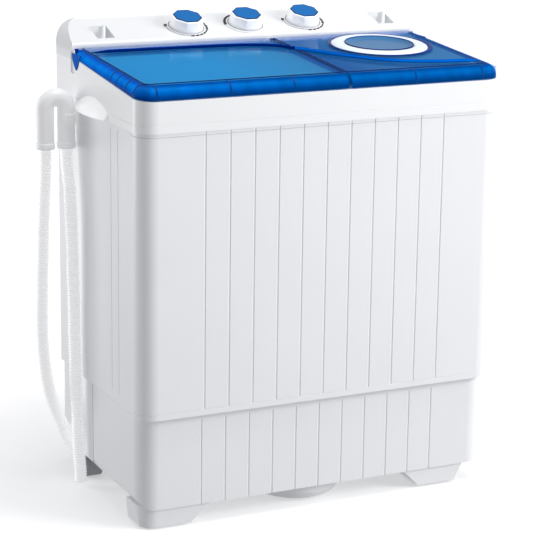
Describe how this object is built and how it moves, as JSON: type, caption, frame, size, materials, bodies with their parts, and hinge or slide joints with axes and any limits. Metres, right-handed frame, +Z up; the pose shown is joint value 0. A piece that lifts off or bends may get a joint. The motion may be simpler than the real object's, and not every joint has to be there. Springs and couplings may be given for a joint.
{
  "type": "twin tub washer",
  "caption": "Free-standing washer with a wash tub and a spin basket side by side under two hinged lids, a knob console behind them and a drain hose on its left side.",
  "frame": {"origin": "on the floor, under the centre of the machine without its drain hose", "axes": "+Z up, +X to the right of a person who stands at the front, -Y towards that person"},
  "size_m": [0.8126, 0.44, 0.8686],
  "materials": {
    "body_white": "satin moulded plastic",
    "tub_white": "smooth moulded plastic",
    "rubber_dark": "matt",
    "pad_grey": "matt",
    "steel_zinc": "zinc plated",
    "motor_steel": "painted, cast end caps",
    "plastic_grey": "satin",
    "hose_white": "corrugated, soft sheen",
    "ring_silver": "printed scale",
    "capacitor_cream": "satin",
    "lid_blue": "clear tinted, polished",
    "ring_white": "polished",
    "safety_clear": "clear, polished",
    "pulsator_blue": "polished",
    "pulley_metal": "machined",
    "basket_plastic": "moulded",
    "filter_blue": "satin",
    "knob_white": "satin",
    "cap_blue": "polished"
  },
  "bodies": {
    "cabinet": {"base": "body_white", "foot_pads": "pad_grey", "base_dish": "body_white", "cabinet": "body_white", "rear_cover": "body_white", "screws": "steel_zinc", "top_frame": "body_white", "console": "body_white", "handle_left": "body_white", "handle_right": "body_white", "wash_tub": "tub_white", "spin_tub": "tub_white", "drive_frame": "steel_zinc", "pulsator_bearing": "steel_zinc", "pulsator_seal": "rubber_dark", "wash_motor": "motor_steel", "drive_belt": "rubber_dark", "spin_motor": "motor_steel", "motor_springs": "steel_zinc", "spin_seal": "rubber_dark", "drain_sump": "plastic_grey", "drain_pipe": "hose_white", "drain_elbow": "hose_white", "overflow_cover": "tub_white", "wash_timer": "plastic_grey", "drain_selector": "plastic_grey", "spin_timer": "plastic_grey", "dial_rings": "ring_silver", "inlet_spouts": "body_white", "capacitors": "capacitor_cream", "lid_switch": "plastic_grey", "hinge_pins": "steel_zinc", "cord_gland": "rubber_dark", "drain_hose": "hose_white", "gooseneck": "body_white", "hose_tail": "hose_white", "hose_clip": "hose_white"},
    "wash_lid": {"wash_lid": "lid_blue"},
    "spin_lid": {"spin_lid": "lid_blue", "spin_lid_ring": "ring_white"},
    "safety_lid": {"safety_lid": "safety_clear"},
    "pulsator": {"pulsator": "pulsator_blue", "pulsator_screw": "steel_zinc", "pulsator_shaft": "steel_zinc", "wash_pulley": "plastic_grey"},
    "wash_motor_rotor": {"motor_pulley": "pulley_metal"},
    "spin_basket": {"spin_basket": "basket_plastic", "spin_shaft": "steel_zinc", "brake_drum": "pulley_metal"},
    "brake_arm": {"brake_arm": "steel_zinc"},
    "drain_valve": {"valve_plug": "rubber_dark"},
    "lint_filter": {"lint_filter": "filter_blue"},
    "wash_timer_knob": {"wash_knob": "knob_white", "wash_knob_cap": "cap_blue"},
    "selector_knob": {"selector_knob": "knob_white", "selector_knob_cap": "cap_blue"},
    "spin_timer_knob": {"spin_knob": "knob_white", "spin_knob_cap": "cap_blue"}
  },
  "joints": [
    {"name": "wash_lid_hinge", "type": "hinge", "parent": "cabinet", "child": "wash_lid", "pos_m": [0, 0.104, 0.813], "axis": [-1, 0, 0], "range_deg": [0, 98]},
    {"name": "spin_lid_hinge", "type": "hinge", "parent": "cabinet", "child": "spin_lid", "pos_m": [0, 0.104, 0.813], "axis": [-1, 0, 0], "range_deg": [0, 98]},
    {"name": "safety_lid_hinge", "type": "hinge", "parent": "cabinet", "child": "safety_lid", "pos_m": [0.198, 0.06, 0.758], "axis": [-1, 0, 0], "range_deg": [0, 83.3]},
    {"name": "pulsator_spin", "type": "hinge", "parent": "cabinet", "child": "pulsator", "pos_m": [-0.15, -0.048, 0.345], "axis": [0, 0, 1], "continuous": true},
    {"name": "wash_motor_spin", "type": "hinge", "parent": "cabinet", "child": "wash_motor_rotor", "pos_m": [-0.262, 0.06, 0.25], "axis": [0, 0, 1], "continuous": true},
    {"name": "basket_spin", "type": "hinge", "parent": "cabinet", "child": "spin_basket", "pos_m": [0.198, -0.048, 0.4], "axis": [0, 0, 1], "continuous": true},
    {"name": "brake_arm_pivot", "type": "hinge", "parent": "cabinet", "child": "brake_arm", "pos_m": [0.25, 0.032, 0.2], "axis": [0, 0, 1], "range_deg": [-2, 0]},
    {"name": "drain_valve_lift", "type": "slide", "parent": "cabinet", "child": "drain_valve", "axis": [0, 0, 1], "range_m": [0, 0.012]},
    {"name": "lint_filter_lift", "type": "slide", "parent": "cabinet", "child": "lint_filter", "axis": [0, 0, 1], "range_m": [0, 0.05]},
    {"name": "wash_timer_turn", "type": "hinge", "parent": "cabinet", "child": "wash_timer_knob", "pos_m": [-0.11, 0.157, 0.84093], "axis": [0, 0.3147, -0.9492], "range_deg": [0, 300]},
    {"name": "selector_turn", "type": "hinge", "parent": "cabinet", "child": "selector_knob", "pos_m": [0.0115, 0.157, 0.84093], "axis": [0, 0.3147, -0.9492], "range_deg": [0, 120]},
    {"name": "spin_timer_turn", "type": "hinge", "parent": "cabinet", "child": "spin_timer_knob", "pos_m": [0.133, 0.157, 0.84093], "axis": [0, 0.3147, -0.9492], "range_deg": [0, 300]}
  ],
  "couplings": [
    {"joint": "wash_motor_spin", "follows": "pulsator_spin", "ratio": 3.0769},
    {"joint": "safety_lid_hinge", "follows": "spin_lid_hinge", "ratio": 0.85},
    {"joint": "brake_arm_pivot", "follows": "spin_lid_hinge", "ratio": -0.02},
    {"joint": "drain_valve_lift", "follows": "selector_turn", "m_per_rad": 0.0057}
  ]
}
